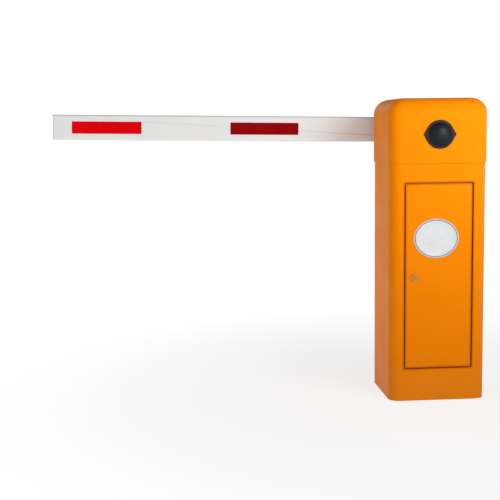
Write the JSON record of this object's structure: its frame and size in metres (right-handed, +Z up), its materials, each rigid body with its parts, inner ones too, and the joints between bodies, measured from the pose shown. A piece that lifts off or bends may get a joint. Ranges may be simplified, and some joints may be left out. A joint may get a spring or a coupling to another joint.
{
  "type": "parking barrier gate",
  "caption": "Upright steel cabinet with a lift-off hood and a lockable door; a white boom with red reflectors swings up behind it, driven by a worm gearmotor and balanced by springs.",
  "frame": {"origin": "middle of the cabinet base, on the ground", "axes": "+Z up; +Y to the back; +X to the right seen from the door; the boom points to -X when it is down"},
  "size_m": [1.4398, 0.4078, 1],
  "materials": {
    "orange_powder_coat": "orange powder coat with a light texture",
    "zinc_steel": "zinc plated",
    "black_rubber": "moulded",
    "machined_steel": "turned",
    "cast_housing": "grey enamel on cast iron",
    "motor_enamel": "dark enamel",
    "spring_steel": "oiled",
    "switch_plastic": "moulded",
    "grey_plastic": "moulded",
    "board_green": "solder mask",
    "white_plastic": "moulded",
    "black_plastic": "moulded, semi-gloss",
    "badge_enamel": "printed blank plate",
    "nickel_plate": "dull nickel plate",
    "white_powder_coat": "white powder coat",
    "boom_white": "white powder coat on extruded aluminium",
    "plug_plastic": "moulded",
    "red_reflective": "retroreflective sheet",
    "wheel_bronze": "machined",
    "red_plastic": "moulded"
  },
  "bodies": {
    "cabinet": {"cabinet_shell": "orange_powder_coat", "base_plate": "zinc_steel", "cable_grommet": "black_rubber", "door_frame": "orange_powder_coat", "door_seal": "black_rubber", "hinge_brackets": "zinc_steel", "hinge_pins": "machined_steel", "slot_cover": "orange_powder_coat", "chassis_rails": "zinc_steel", "chassis_shelf": "zinc_steel", "chassis_front_plate": "zinc_steel", "chassis_rear_plate": "zinc_steel", "chassis_fasteners": "zinc_steel", "bearing_housings": "cast_housing", "bearing_outer_rings": "machined_steel", "gearbox_case": "cast_housing", "gearbox_cover": "cast_housing", "motor_case": "motor_enamel", "motor_end_bell": "motor_enamel", "buffer_posts": "zinc_steel", "rubber_buffers": "black_rubber", "balance_springs": "spring_steel", "spring_bolts": "zinc_steel", "limit_switches": "switch_plastic", "control_box": "grey_plastic", "control_lid": "grey_plastic", "circuit_board": "board_green", "din_rail": "zinc_steel", "circuit_breaker": "white_plastic"},
    "door": {"door_panel": "orange_powder_coat", "badge_plate": "badge_enamel", "hinge_leaves": "zinc_steel", "lock_barrel": "nickel_plate", "lock_nut": "zinc_steel"},
    "hood": {"hood": "orange_powder_coat", "shaft_cap": "black_plastic"},
    "lock": {"lock_plug": "nickel_plate", "lock_cam": "zinc_steel"},
    "boom": {"main_shaft": "machined_steel", "shaft_keys": "machined_steel", "bearing_inner_rings": "machined_steel", "drive_lever": "cast_housing", "lever_pins": "machined_steel", "limit_cams": "white_plastic", "hub_flange": "cast_housing", "boom_cradle": "white_powder_coat", "clamp_plate": "white_powder_coat", "boom_bolts": "zinc_steel", "boom_tube": "boom_white", "boom_plugs": "plug_plastic", "reflectors": "red_reflective"},
    "crank": {"output_shaft": "machined_steel", "worm_wheel": "wheel_bronze", "crank_arm": "cast_housing", "crank_pin": "machined_steel"},
    "rod": {"connecting_rod": "machined_steel", "rod_sleeve": "machined_steel"},
    "rotor": {"worm": "machined_steel", "motor_rotor": "machined_steel", "handwheel": "red_plastic"}
  },
  "joints": [
    {"name": "boom_lift", "type": "hinge", "parent": "cabinet", "child": "boom", "pos_m": [0, 0, 0.882], "axis": [0, 1, 0], "range_deg": [0, 90], "deforming": ["balance_springs"]},
    {"name": "crank_turn", "type": "hinge", "parent": "cabinet", "child": "crank", "pos_m": [0, 0, 0.642], "axis": [0, 1, 0], "range_deg": [0, 90]},
    {"name": "rod_swing", "type": "hinge", "parent": "crank", "child": "rod", "pos_m": [-0.04243, 0, 0.59957], "axis": [0, 1, 0], "range_deg": [-90, 0]},
    {"name": "worm_turn", "type": "hinge", "parent": "cabinet", "child": "rotor", "pos_m": [-0.052, -0.038, 0.642], "axis": [0, 0, 1], "range_deg": [-3600, 0]},
    {"name": "door_swing", "type": "hinge", "parent": "cabinet", "child": "door", "pos_m": [0.105, -0.1385, 0.417], "axis": [0, 0, 1], "range_deg": [0, 100]},
    {"name": "lock_turn", "type": "hinge", "parent": "door", "child": "lock", "pos_m": [-0.08, -0.145, 0.414], "axis": [0, 1, 0], "range_deg": [0, 90]},
    {"name": "hood_lift", "type": "slide", "parent": "cabinet", "child": "hood", "axis": [0, 0, 1], "range_m": [0, 0.25]}
  ],
  "couplings": [
    {"joint": "crank_turn", "follows": "boom_lift", "ratio": 1},
    {"joint": "rod_swing", "follows": "boom_lift", "ratio": -1},
    {"joint": "worm_turn", "follows": "boom_lift", "ratio": -40}
  ]
}
